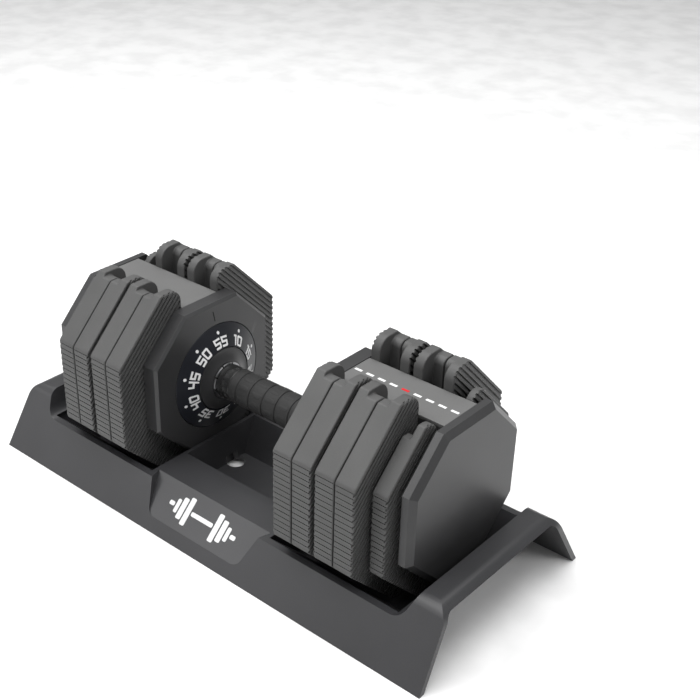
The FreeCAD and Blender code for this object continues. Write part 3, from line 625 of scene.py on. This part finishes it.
# ---- plates
@dataclass
class Plate:
    """A weight plate with tall arms beside the head's core on one half and short arms on the other.

    It is shaped with its tall half towards the handle, from X = 0 outwards, and turned round for
    the plates that face the other way.
    """

    name: str
    thick: float
    low: float
    high: float
    half: float
    corner: float
    finger_top: float
    shoulder_top: float
    axis: float
    corner_round: float = 5.0
    slot_half: float = 21.9
    wide_half: float = 36.0
    finger_round: float = 12.0
    shoulder_round: float = 6.5
    edge: float = 1.5
    lug_depth: float = 2.2
    lug_length: float = 6.5
    lug_height: float = 11.0
    notch_pitch: float = 5.2
    notch_deep: float = 0.7
    notch_wide: float = 0.7
    rib_pitch: float = 4.1
    rib_gap: float = 2.0
    rib_deep: float = 1.5
    rib_margin: float = 1.5
    rib_first: float = 3.4
    notch_foot: float = 1.5
    notch_head: float = 2.5
    cutter_past: float = 2.0
    lug_root: float = 1.0
    lug_sunk: float = 0.1
    base_steps: int = 16
    tip_steps: int = 8
    both_faces: bool = False

    def outline(self) -> list[Point2]:
        """The octagon with softened corners.

        Returns:
            The outline in Y and Z.
        """
        half, cut = self.half, self.corner
        corners = [(-half + cut, self.low), (half - cut, self.low), (half, self.low + cut),
                   (half, self.high - cut), (half - cut, self.high), (-half + cut, self.high),
                   (-half, self.high - cut), (-half, self.low + cut)]
        return rounded(corners, [self.corner_round] * len(corners))

    def slot(self, half: float, top: float, soft: float) -> list[Point2]:
        """Outline of a cutter: a slot open at the top, flared to round the arms' tips.

        Args:
            half: Half the slot's width.
            top: Height of the arms.
            soft: Radius of the arms' tips.

        Returns:
            The outline in Y and Z.
        """
        far = 2 * self.half
        turns = [math.pi * (step / self.base_steps - 0.5) for step in range(self.base_steps + 1)]
        base = [(half * math.sin(turn), self.axis - half * math.cos(turn)) for turn in turns]
        turns = [math.pi / 2 * step / self.tip_steps for step in range(self.tip_steps + 1)]
        rise = [(half + soft - soft * math.cos(turn), top - soft + soft * math.sin(turn))
                for turn in turns]
        right = rise + [(far, top), (far, top + far)]
        left = [(-y, z) for y, z in reversed(right)]
        return base + right + left

    def build(self, grooves: GrooveField) -> Piece:
        """The finished solid, facing the handle with its tall half.

        Args:
            grooves: The tree that cuts the side notches and the ribbed face.

        Returns:
            A hidden master object.
        """
        made = raw_object(self.name, prism(self.outline(), 0.0, self.thick))
        middle, past = self.thick / 2, self.thick + self.cutter_past
        lug_low = self.axis + self.lug_height
        slot = self.slot(self.slot_half, self.finger_top, self.finger_round)
        wide_slot = self.slot(self.wide_half, self.shoulder_top, self.shoulder_round)
        lug = block((middle - self.lug_sunk, -self.wide_half - self.lug_root, lug_low),
                    (middle + self.lug_length, self.lug_depth - self.wide_half,
                     lug_low + self.lug_height))
        for operation, shape in (("DIFFERENCE", prism(slot, -self.cutter_past, past)),
                                 ("DIFFERENCE", prism(wide_slot, middle, past)), ("UNION", lug)):
            helper = raw_object("cutter", shape)
            modifier = made.modifiers.new("Cut", "BOOLEAN")
            modifier.operation, modifier.solver, modifier.object = operation, "EXACT", helper
            settled(made)
            bpy.data.objects.remove(helper)
        eased(made, self.edge)
        self._notch_sides(made, grooves)
        for face in (0.0, self.thick) if self.both_faces else (0.0,):
            self._rib_face(made, grooves, face)
        cleaned(made.data, CUT_MERGE, self._close_up)
        return made

    def _close_up(self, bench: bmesh.types.BMesh) -> None:
        """Drop the slivers left by the cuts, and report the edges that aren't shared by two faces.

        Args:
            bench: The plate's mesh.
        """
        bmesh.ops.dissolve_degenerate(bench, dist=CUT_MERGE * MM, edges=bench.edges)
        loose = sum(not edge.is_manifold for edge in bench.edges)
        LOG.info("%s: %d open or shared edges after cutting", self.name, loose)

    def _notch_sides(self, made: Piece, grooves: GrooveField) -> None:
        """Cut the level notches down both upright sides.

        Args:
            made: The plate.
            grooves: The tree that cuts them.
        """
        high = self.high - self.corner - self.notch_head
        count = int((high - self.low - self.corner - self.notch_foot) / self.notch_pitch) + 1
        for sign in (-1, 1):
            grooves.run(made, PLATE_COATING, Count=count, Turn=0.0,
                        Start=Vector((self.thick / 2, sign * self.half, high)) * MM,
                        Step=Vector((0.0, 0.0, -self.notch_pitch)) * MM,
                        Cutter=Vector((2 * self.thick, 2 * self.notch_deep, self.notch_wide)) * MM)

    def _rib_face(self, made: Piece, grooves: GrooveField, face: float) -> None:
        """Cut slanting grooves into one face, alongside the upper corners and mirrored.

        Args:
            made: The plate.
            grooves: The tree that cuts them.
            face: Where the face is along X.
        """
        slant = math.sqrt(0.5)
        inner = self.slot_half + self.rib_margin
        reach = (self.half - inner) / slant + self.rib_pitch
        step = self.rib_pitch / slant
        start = self.high + self.half - self.corner - inner - self.rib_first / slant
        drop = reach / 2 * slant
        for sign in (-1, 1):
            grooves.run(made, PLATE_COATING, Count=int((start - self.low) / step),
                        Turn=-sign * math.pi / 4, Step=Vector((0.0, 0.0, -step)) * MM,
                        Start=Vector((face, sign * (inner + drop), start - drop)) * MM,
                        Cutter=Vector((2 * self.rib_deep, reach, self.rib_gap)) * MM)


@dataclass
class PlateStack:
    """All ten plates: four large and one small in each head."""

    axis: float = HANDLE_AXIS
    finger_drop: float = 4.8
    shoulder_drop: float = 8.5
    small_shoulder_drop: float = 22.0
    large_corner: float = 56.0
    small_corner: float = 55.4
    small_height: float = 185.6

    def build(self, grooves: GrooveField) -> None:
        """Make the two master plates and stand their copies in both heads.

        Args:
            grooves: The tree that cuts notches and ribs.
        """
        low, high = box_of("right_plate_1")
        crown = high.z + self.finger_drop
        large = Plate("large_plate", high.x - low.x, low.z, crown, high.y, self.large_corner,
                      high.z, crown - self.shoulder_drop, self.axis).build(grooves)
        small_low, small_high = box_of("right_small_plate")
        small_crown = small_low.z + self.small_height
        small = Plate("slim_plate", small_high.x - small_low.x, small_low.z, small_crown, small_high.y,
                      self.small_corner, small_high.z, small_crown - self.small_shoulder_drop,
                      self.axis, both_faces=True).build(grooves)
        for side in Side:
            for number in range(1, 5):
                self._stand(large, f"{side.prefix}_plate_{number}", tall_inside=number % 2 == 1)
            self._stand(small, f"{side.prefix}_small_plate", tall_inside=False)
        for master in (large, small):
            bpy.data.objects.remove(master)

    @staticmethod
    def _stand(master: Piece, node: str, tall_inside: bool) -> None:
        """Stand a copy of a master plate where its CAD node is.

        Args:
            master: The plate, shaped from X = 0 with its tall half first.
            node: The CAD node that the copy replaces.
            tall_inside: True if the tall half is towards the handle.
        """
        low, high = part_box(node)
        facing_out = (low.x > 0) == tall_inside
        copy = bpy.data.objects.new(f"{node}_dressed", master.data.copy())
        bpy.context.scene.collection.objects.link(copy)
        flip = Matrix.Diagonal((1.0 if facing_out else -1.0, 1.0, 1.0, 1.0))
        start = low.x if facing_out else high.x
        copy.data.transform(Matrix.Translation((start, 0.0, 0.0)) @ flip)
        if not facing_out:
            copy.data.flip_normals()
        finished(copy, PLATE_COATING, node, "plate", [node])


# ---- heads
@dataclass
class Head:
    """The guard, cap and cover of one end of the dumbbell, with their marks."""

    side: Side
    axis: float = HANDLE_AXIS
    guard_edge: float = 0.9
    cover_edge: float = 0.5
    edge_angle: float = 28.0
    dome_top: float = 53.0
    dome_foot: float = 66.0
    dome_rise: float = 3.4
    tick_inner: float = 55.0
    tick_outer: float = 63.5
    tick_half: float = 0.55
    tick_lift: float = 0.08
    tick_sunk: float = 0.6
    stripe_half: float = 1.3
    stripe_count: int = 9
    dash_share: Point2 = (0.2, 0.8)
    dash_lift: float = 0.06
    dash_sunk: float = 0.3

    def build(self) -> None:
        """Make the pieces of this head."""
        prefix = self.side.prefix
        for node, finish, slot, edge in (
                ("inner_flange", GUARD_PLASTIC, "guard", self.guard_edge),
                ("end_cap", GUARD_PLASTIC, "guard", self.guard_edge),
                ("top_cover", COVER_PLASTIC, "cover", self.cover_edge)):
            made = eased(cad_copy(f"{prefix}_{node}"), edge, self.edge_angle)
            finished(made, finish, "dumbbell", slot, [f"{prefix}_{node}"])
        for node, finish in (("head_core", GUARD_PLASTIC), ("bush", BRONZE), ("lock_pin", BARE_STEEL),
                             ("lock_spring", BARE_STEEL)):
            dress_node(f"{prefix}_{node}", finish)
        self._tick()
        if self.side is Side.RIGHT:
            self._stripe()

    def _tick(self) -> None:
        """The pointer line above the dial, laid on the flange's dome."""
        near = span_of(f"{self.side.prefix}_inner_flange")[0]
        slope = self.dome_rise / (self.dome_foot - self.dome_top)
        flat = oblong((self.tick_inner, -self.tick_half), (self.tick_outer, self.tick_half))
        shape = loft([[(near + slope * (radius - self.dome_top) - lift, across, self.axis + radius)
                       for radius, across in flat] for lift in (self.tick_lift, -self.tick_sunk)])
        made = raw_object("pointer_tick", shape, self.side)
        finished(made, ENGRAVING, "dumbbell", "guard")

    def _stripe(self) -> None:
        """A plain row of printed dashes along the cover, with one red dash."""
        low, high = box_of(f"{self.side.prefix}_top_cover")
        length = (high.x - low.x) / self.stripe_count
        white, red = Shape(), Shape()
        for place in range(self.stripe_count):
            start, end = (low.x + length * (place + share) for share in self.dash_share)
            (red if place == self.stripe_count // 2 else white).add(
                block((start, -self.stripe_half, high.z - self.dash_sunk),
                      (end, self.stripe_half, high.z + self.dash_lift)))
        for name, shape, finish in (("cover_dashes", white, WHITE_PRINT),
                                    ("cover_mark", red, RED_PRINT)):
            finished(raw_object(name, shape), finish, "dumbbell", "cover")


FIGURE_WIDTHS = {"1": 0.45}
CUT_SHARE = 0.55
NICK_SHARE = 0.1
ONE_ROW = {"Rows": 1, "Pitch": 0.0, "Stagger": 0.0}


def figure_outlines(digit: str, width: float, height: float, stroke: float) -> list[list[Point2]]:
    """Outlines of a squared figure, made of level and upright strokes.

    Args:
        digit: The figure, from 0 to 5.
        width: Its width.
        height: Its height.
        stroke: Width of its strokes.

    Returns:
        The figure's outline from its lower left corner, and that of its hole if it has one, with
        as many points.
    """
    w, h, t = width, height, stroke
    low, mid = (h - t) / 2, (h + t) / 2
    cut, nick = CUT_SHARE * t, NICK_SHARE * t
    five = [(0, 0), (w - cut, 0), (w, cut), (w, mid), (t, mid), (t, h - t), (w, h - t), (w, h), (0, h),
            (0, low), (w - t, low), (w - t, t), (0, t)]
    shapes: dict[str, list[list[Point2]]] = {
        "0": [[(cut, 0), (w - cut, 0), (w, cut), (w, h - cut), (w - cut, h), (cut, h), (0, h - cut),
               (0, cut)],
              [(t + nick, t), (w - t - nick, t), (w - t, t + nick), (w - t, h - t - nick),
               (w - t - nick, h - t), (t + nick, h - t), (t, h - t - nick), (t, t + nick)]],
        "1": [[(w - t, 0), (w, 0), (w, h), (0, h), (0, h - t), (w - t, h - t)]],
        "2": [[(w - x, y) for x, y in reversed(five)]],
        "3": [[(0, 0), (w - cut, 0), (w, cut), (w, h - cut), (w - cut, h), (0, h), (0, h - t),
               (w - t, h - t), (w - t, mid), (t, mid), (t, low), (w - t, low), (w - t, t), (0, t)]],
        "4": [[(w - t, 0), (w, 0), (w, h), (w - t, h), (w - t, mid), (t, mid), (t, h), (0, h), (0, low),
               (w - t, low)]],
        "5": [five],
    }
    return shapes[digit]


@dataclass
class Dial:
    """A numbered dial with its hub, trim ring and collar."""

    side: Side
    axis: float = HANDLE_AXIS
    inner: float = 30.6
    outer: float = 51.0
    rise: float = 9.0
    dot_radius: float = 44.6
    dot_size: float = 1.45
    figure_radius: float = 36.3
    figure_height: float = 8.9
    figure_width: float = 7.0
    figure_space: float = 1.4
    figure_stroke: float = 1.75
    settings: tuple[int, ...] = (55, 50, 45, 40, 35, 30, 25, 20, 15, 10)
    lift: float = 0.12
    edge: float = 0.45
    edge_angle: float = 20.0
    dot_points: int = 20
    hub_lip: float = 18.5
    hub_rim: float = 0.5
    hub_seat: tuple[Point2, ...] = ((0.35, 0.0), (0.1, 0.12))
    hub_steps: int = 14
    hub_flare: float = 1.7
    collar_round: float = 0.6
    trim_inset: float = 0.25
    trim_round: float = 0.3
    trim_deep: float = 1.6
    trim_arcs: int = 9
    trim_share: float = 0.86
    arc_steps: int = 12

    @property
    def front(self) -> float:
        """Distance of the dial's inner ring from the middle of the handle."""
        return span_of(f"{self.side.prefix}_dial")[0]

    def cone(self, radius: float) -> float:
        """Distance along X of the dial's face at a radius."""
        return self.front + self.rise * (radius - self.inner) / (self.outer - self.inner)

    def build(self, around: RoundHandle) -> None:
        """Make the dial's pieces.

        Args:
            around: The tree that repeats dots and studs round the handle.
        """
        prefix = self.side.prefix
        made = eased(cad_copy(f"{prefix}_dial"), self.edge, self.edge_angle, 2)
        finished(made, DIAL_PLASTIC, "selector", "dial", [f"{prefix}_dial"])
        self._figures()
        self._dots(around)
        self._hub()
        self._collar()
        self._trim(around)

    def _figures(self) -> None:
        """The settings as raised figures that follow the cone."""
        joined = Shape()
        for place, setting in enumerate(self.settings):
            digits = str(setting)
            widths = [FIGURE_WIDTHS.get(digit, 1.0) * self.figure_width for digit in digits]
            pen = -(sum(widths) + self.figure_space * (len(digits) - 1)) / 2
            for digit, width in zip(digits, widths):
                joined.add(self._figure(digit, pen, width, place * math.tau / len(self.settings)))
                pen += width + self.figure_space
        made = raw_object(f"{self.side.prefix}_dial_figures", joined)
        finished(made, WHITE_PRINT, "selector", "dial")

    def _figure(self, digit: str, left: float, width: float, turn: float) -> Shape:
        """One squared figure on the cone.

        Args:
            digit: What it says.
            left: Its left edge from the middle of the number, along the circle.
            width: Its width.
            turn: The number's angle from the top.

        Returns:
            Its closed shape, in place.
        """
        sign = self.side.value
        outlines = figure_outlines(digit, width, self.figure_height, self.figure_stroke)

        middle = self.figure_radius - self.figure_height / 2

        def seated(right: float, up: float, lift: float) -> Point3:
            """A point of the figure, at a height over the cone."""
            radius, angle = middle + up, turn - (left + right) / self.figure_radius
            return (sign * (self.cone(radius) - lift), sign * radius * math.sin(angle),
                    self.axis + radius * math.cos(angle))

        rings = [[seated(*point, self.lift) for point in outline] for outline in outlines]
        rings += [[seated(*point, -SUNK) for point in outline] for outline in reversed(outlines)]
        return loft(rings, endless=len(outlines) > 1)

    def _dots(self, around: RoundHandle) -> None:
        """A white dot outside each figure.

        Args:
            around: The tree that repeats it.
        """
        slope = self.rise / (self.outer - self.inner)
        x = self.cone(self.dot_radius)
        turns = [math.tau * step / self.dot_points for step in range(self.dot_points)]
        rim = [(math.cos(turn) * self.dot_size, math.sin(turn) * self.dot_size) for turn in turns]
        shape = loft([[(x - lift + up * slope, across, self.dot_radius + up) for across, up in rim]
                      for lift in (self.lift, -SUNK)])
        made = raw_object("dial_dots", shape, self.side)
        around.run(made, WHITE_PRINT, **ONE_ROW, Around=len(self.settings))
        raised(made, self.axis)
        finished(made, WHITE_PRINT, "selector", "dial")

    def _hub(self) -> None:
        """The flared boss, as one smooth curve."""
        node = f"{self.side.prefix}_dial_hub"
        mouth, back, rim = span_of(node)
        front, brim = self.front, rim - self.hub_rim
        profile = [(mouth, BORE), (back, BORE), (back, rim)]
        profile += [(front + along, rim - down) for along, down in self.hub_seat]
        for share in (step / self.hub_steps for step in range(self.hub_steps + 1)):
            profile.append((front - (front - mouth) * share ** self.hub_flare,
                            brim - (brim - self.hub_lip) * share))
        made = raw_object("dial_hub_dressed", turned(profile, self.axis), self.side)
        finished(made, HUB_PLASTIC, "selector", "hub", [node], 50.0)

    def _collar(self) -> None:
        """The gloss black collar with softly rounded ends."""
        node = f"{self.side.prefix}_collar"
        start, end, radius = span_of(node)
        profile = rounded(oblong((start, BORE), (end, radius)), [0.0, 0.0] + [self.collar_round] * 2, 4)
        made = raw_object("collar_dressed", turned(profile, self.axis), self.side)
        finished(made, GLOSS_BLACK, "selector", "gloss_black", [node], 40.0)

    def _trim(self, around: RoundHandle) -> None:
        """The bright ring at the hub's mouth, parted into short arcs over a black seat.

        Args:
            around: The tree that repeats the arc.
        """
        node = f"{self.side.prefix}_trim_ring"
        start, end, radius = span_of(node)
        radii = [0.0, 0.0, self.trim_round, self.trim_round]
        seat = oblong((start + self.trim_inset, BORE), (end, radius - self.trim_inset))
        made = raw_object("trim_seat", turned(rounded(seat, radii, 3), self.axis), self.side)
        finished(made, GLOSS_BLACK, "selector", "gloss_black")
        section = rounded(oblong((start, radius - self.trim_deep), (end, radius)), radii, 3)
        width = math.tau / self.trim_arcs * self.trim_share
        angles = [width * (step / self.arc_steps - 0.5) for step in range(self.arc_steps + 1)]
        arc = loft([[(x, r * math.sin(angle), r * math.cos(angle)) for x, r in section]
                    for angle in angles])
        made = raw_object("trim_arcs", arc, self.side)
        around.run(made, BRIGHT_METAL, **ONE_ROW, Around=self.trim_arcs)
        raised(made, self.axis)
        finished(made, BRIGHT_METAL, "selector", "bright_ring", [node])


# ---- handle
@dataclass
class Grip:
    """The moulded grip: bands parted by ring grooves, with shallow finger pads."""

    axis: float = HANDLE_AXIS
    band: float = 15.6
    grooves: int = 5
    groove_half: float = 0.75
    groove_deep: float = 0.9
    groove_floor: float = 0.7
    lip: float = 0.35
    lip_drop: float = 0.12
    shoulder: float = 1.3
    edge: float = 0.6
    pads_around: int = 5
    pad_length: float = 11.0
    pad_lift: float = 0.30
    pad_share: float = 0.80
    pad_corner: float = 3.0
    pad_ease: float = 0.9
    pad_sunk: float = 0.4
    pad_foot: float = 0.02
    pad_brow: float = 0.03

    def build(self, around: RoundHandle) -> None:
        """Make the grip and its pads.

        Args:
            around: The tree that repeats the pads.
        """
        high = box_of("grip")[1]
        end, radius, wide = high.x, high.y, self.groove_half
        skin = radius - self.pad_lift
        half = [(wide + self.shoulder, 0.0), (wide + self.lip, self.lip_drop), (wide, self.lip),
                (wide * self.groove_floor, self.groove_deep)]
        profile = [(-end, BORE), (end, BORE), (end, skin - self.edge), (end - self.edge, skin)]
        places = [(place - (self.grooves - 1) / 2) * self.band for place in range(self.grooves)]
        for place in reversed(places):
            profile += [(place + off, skin - deep) for off, deep in half]
            profile += [(place - off, skin - deep) for off, deep in reversed(half)]
        profile += [(self.edge - end, skin), (-end, skin - self.edge)]
        made = raw_object("grip_dressed", turned(profile, self.axis))
        finished(made, GRIP_RUBBER, "selector", "grip", ["grip"], 40.0)
        self._pads(around, skin, radius, places[0] + self.band / 2)

    def _pads(self, around: RoundHandle, skin: float, radius: float, first: float) -> None:
        """Shallow pads round each full band.

        Args:
            around: The tree that repeats them.
            skin: Radius of the bands between the pads.
            radius: Radius of the pads.
            first: Middle of the first full band along X.
        """
        half_turn = math.pi / self.pads_around * self.pad_share
        corner = (self.pad_length / 2, half_turn * radius)
        flat = rounded(oblong((-corner[0], -corner[1]), corner), [self.pad_corner] * 4, 6)
        rings = []
        for inset, r in ((0.0, skin - self.pad_sunk), (0.0, skin + self.pad_foot),
                         (self.pad_ease / 2, radius - self.pad_brow), (self.pad_ease, radius)):
            pulled = [[part - math.copysign(min(inset, abs(part)), part) for part in point]
                      for point in flat]
            rings.append([(first + along, r * math.sin(across / radius), r * math.cos(across / radius))
                          for along, across in pulled])
        shape = loft(rings)
        # Strips along the handle take the place of the flat face across the top, to follow the round.
        first_top = (len(rings) - 1) * len(flat)
        order = sorted(range(len(flat)), key=lambda place: flat[place][1])
        left = [first_top + place for place in order if flat[place][0] < 0]
        right = [first_top + place for place in order if flat[place][0] >= 0]
        shape.faces[1:2] = zip(left, right, right[1:], left[1:])
        made = raw_object("grip_pads", shape)
        around.run(made, GRIP_RUBBER, Rows=self.grooves - 1, Around=self.pads_around,
                   Pitch=self.band * MM, Stagger=math.pi / self.pads_around)
        raised(made, self.axis)
        finished(made, GRIP_RUBBER, "selector", "grip")


# ---- tray
@dataclass
class Tray:
    """The moulded tray with a plain pictogram on its front panel."""

    edge: float = 0.9
    panel_low: Point2 = (-104.6, 11.5)
    panel_top: Point2 = (-76.7, 38.6)
    sign_middle: float = 0.50
    sign_bar: float = 13.0
    sign_stroke: float = 2.0
    sign_plates: tuple[Point3, ...] = ((14.5, 20.0, 13.0), (21.5, 27.0, 10.0), (28.5, 32.5, 6.5),
                                       (34.0, 40.0, 2.0))
    sign_round: float = 1.4
    sign_round_share: float = 2.2
    print_lift: float = 0.10

    def build(self) -> None:
        """Make the tray's pieces."""
        made = eased(cad_copy("tray"), self.edge, 24.0)
        finished(made, TRAY_PLASTIC, "tray", "tray", ["tray"], 28.0)
        dress_node("rubber_feet", FOOT_RUBBER)
        self._pictogram()

    def _pictogram(self) -> None:
        """A plain barbell in white on the front panel."""
        bars = [(-self.sign_bar, self.sign_bar, -self.sign_stroke, self.sign_stroke)]
        for sign in (-1, 1):
            for inner, outer, half in self.sign_plates:
                low, high = sorted((sign * inner, sign * outer))
                bars.append((low, high, -half, half))
        foot = Vector((0.0, *self.panel_low))
        rise = Vector((0.0, *self.panel_top)) - foot
        upward = rise.normalized()
        out = Vector((1.0, 0.0, 0.0)).cross(upward)
        middle = foot + rise * self.sign_middle
        shape = Shape()
        for low, high, down, up in bars:
            soft = min(self.sign_round, (up - down) / self.sign_round_share)
            flat = rounded(oblong((low, down), (high, up)), [soft] * 4)
            shape.add(loft([[tuple(middle + Vector((x, 0.0, 0.0)) + upward * v + out * lift)
                             for x, v in flat] for lift in (self.print_lift, -SUNK)]))
        finished(raw_object("tray_pictogram", shape), WHITE_PRINT, "tray", "tray")


# ---- hidden works
INNER_FINISHES = (
    (ZINC, ("flange_screws", "cap_screws", "shaft_washers", "shaft_nuts")),
    (BARE_STEEL, ("detent_balls", "detent_springs", "centre_shaft", "handle_tube",
                  *(f"{side.prefix}_selector_sleeve" for side in Side))),
    (CAM_PLASTIC, tuple(f"{side.prefix}_selector_disc_{number}"
                        for side in Side for number in range(1, 6))),
)


def dress_works() -> None:
    """Finish the pieces inside the heads, which keep their CAD shapes."""
    for finish, nodes in INNER_FINISHES:
        for node in nodes:
            dress_node(node, finish)


# ---- studio
@dataclass
class Studio:
    """A pale floor, soft lights and the camera.

    Each light has a name, a place and an aim in metres, the side of its square and its watts.
    """

    camera_place: Point3 = (0.6218, -0.6659, 0.6665)
    azimuth: float = 42.41
    elevation: float = 30.03
    roll: float = 0.05
    lens: float = 62.7
    shift: Point2 = (0.0937, 0.0227)
    floor_half: float = 4.0
    world_strength: float = 0.36
    lights: tuple[tuple[str, Point3, Point3, float, float], ...] = (
        ("top_softbox", (-0.25, -0.10, 1.7), (0.0, 0.0, 0.1), 2.2, 56.0),
        ("front_softbox", (-1.3, -1.7, 1.1), (0.0, 0.0, 0.1), 1.2, 12.0),
        ("right_softbox", (1.7, 0.2, 1.5), (0.1, 0.0, 0.1), 0.8, 9.0))

    def build(self) -> None:
        """Make the floor, the lights and the camera."""
        half = self.floor_half / MM
        flat = [(x, y, 0.0) for x, y in oblong((-half, -half), (half, half))]
        floor = raw_object("floor", Shape(flat, [(0, 1, 2, 3)]))
        floor.data.materials.append(FLOOR_PAINT.material())
        floor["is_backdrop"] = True
        self._hang_lights()
        world = bpy.data.worlds.new("studio")
        world.use_nodes = True
        world.node_tree.nodes["Background"].inputs["Color"].default_value = (1.0, 1.0, 1.0, 1.0)
        world.node_tree.nodes["Background"].inputs["Strength"].default_value = self.world_strength
        bpy.context.scene.world = world
        bpy.context.scene.view_settings.view_transform = "Standard"
        self._camera()

    def _hang_lights(self) -> None:
        """Hang the square soft lights."""
        for name, place, aim, size, power in self.lights:
            lamp = bpy.data.lights.new(name, "AREA")
            lamp.shape, lamp.size, lamp.energy = "SQUARE", size, power
            holder = bpy.data.objects.new(name, lamp)
            holder.location = place
            holder.rotation_euler = (Vector(aim) - Vector(place)).to_track_quat("-Z", "Y").to_euler()
            bpy.context.scene.collection.objects.link(holder)

    def _camera(self) -> None:
        """The camera, looking down on the object's front right corner."""
        lens = bpy.data.cameras.new("camera")
        lens.lens = self.lens
        lens.sensor_width = 36.0
        lens.shift_x, lens.shift_y = self.shift
        lens.clip_start, lens.clip_end = 0.01, 20.0
        holder = bpy.data.objects.new("camera", lens)
        turn, rise = math.radians(self.azimuth), math.radians(self.elevation)
        level = math.cos(rise)
        back = Vector((math.sin(turn) * level, -math.cos(turn) * level, math.sin(rise)))
        facing = (-back).to_track_quat("-Z", "Y").to_matrix().to_4x4()
        tilt = Matrix.Rotation(math.radians(self.roll), 4, "Z")
        holder.matrix_world = Matrix.Translation(self.camera_place) @ facing @ tilt
        bpy.context.scene.collection.objects.link(holder)
        bpy.context.scene.camera = holder


def write_sizes() -> None:
    """Work out the CAD box and the visual model's box, as plain lists."""
    boxes = {"cad": CAD_BOX, "visual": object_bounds()}
    {name: [list(low), list(high)] for name, (low, high) in boxes.items()}


def main() -> None:
    """Build the tray, the handle, both heads and the studio, in that order."""
    logging.basicConfig(level=logging.INFO, format="%(name)s: %(message)s")
    around, grooves = RoundHandle(), GrooveField()
    Tray().build()
    PlateStack().build(grooves)
    for side in Side:
        Head(side).build()
        Dial(side).build(around)
    Grip().build(around)
    dress_works()
    Studio().build()
    write_sizes()


if __name__ == "__main__":
    main()
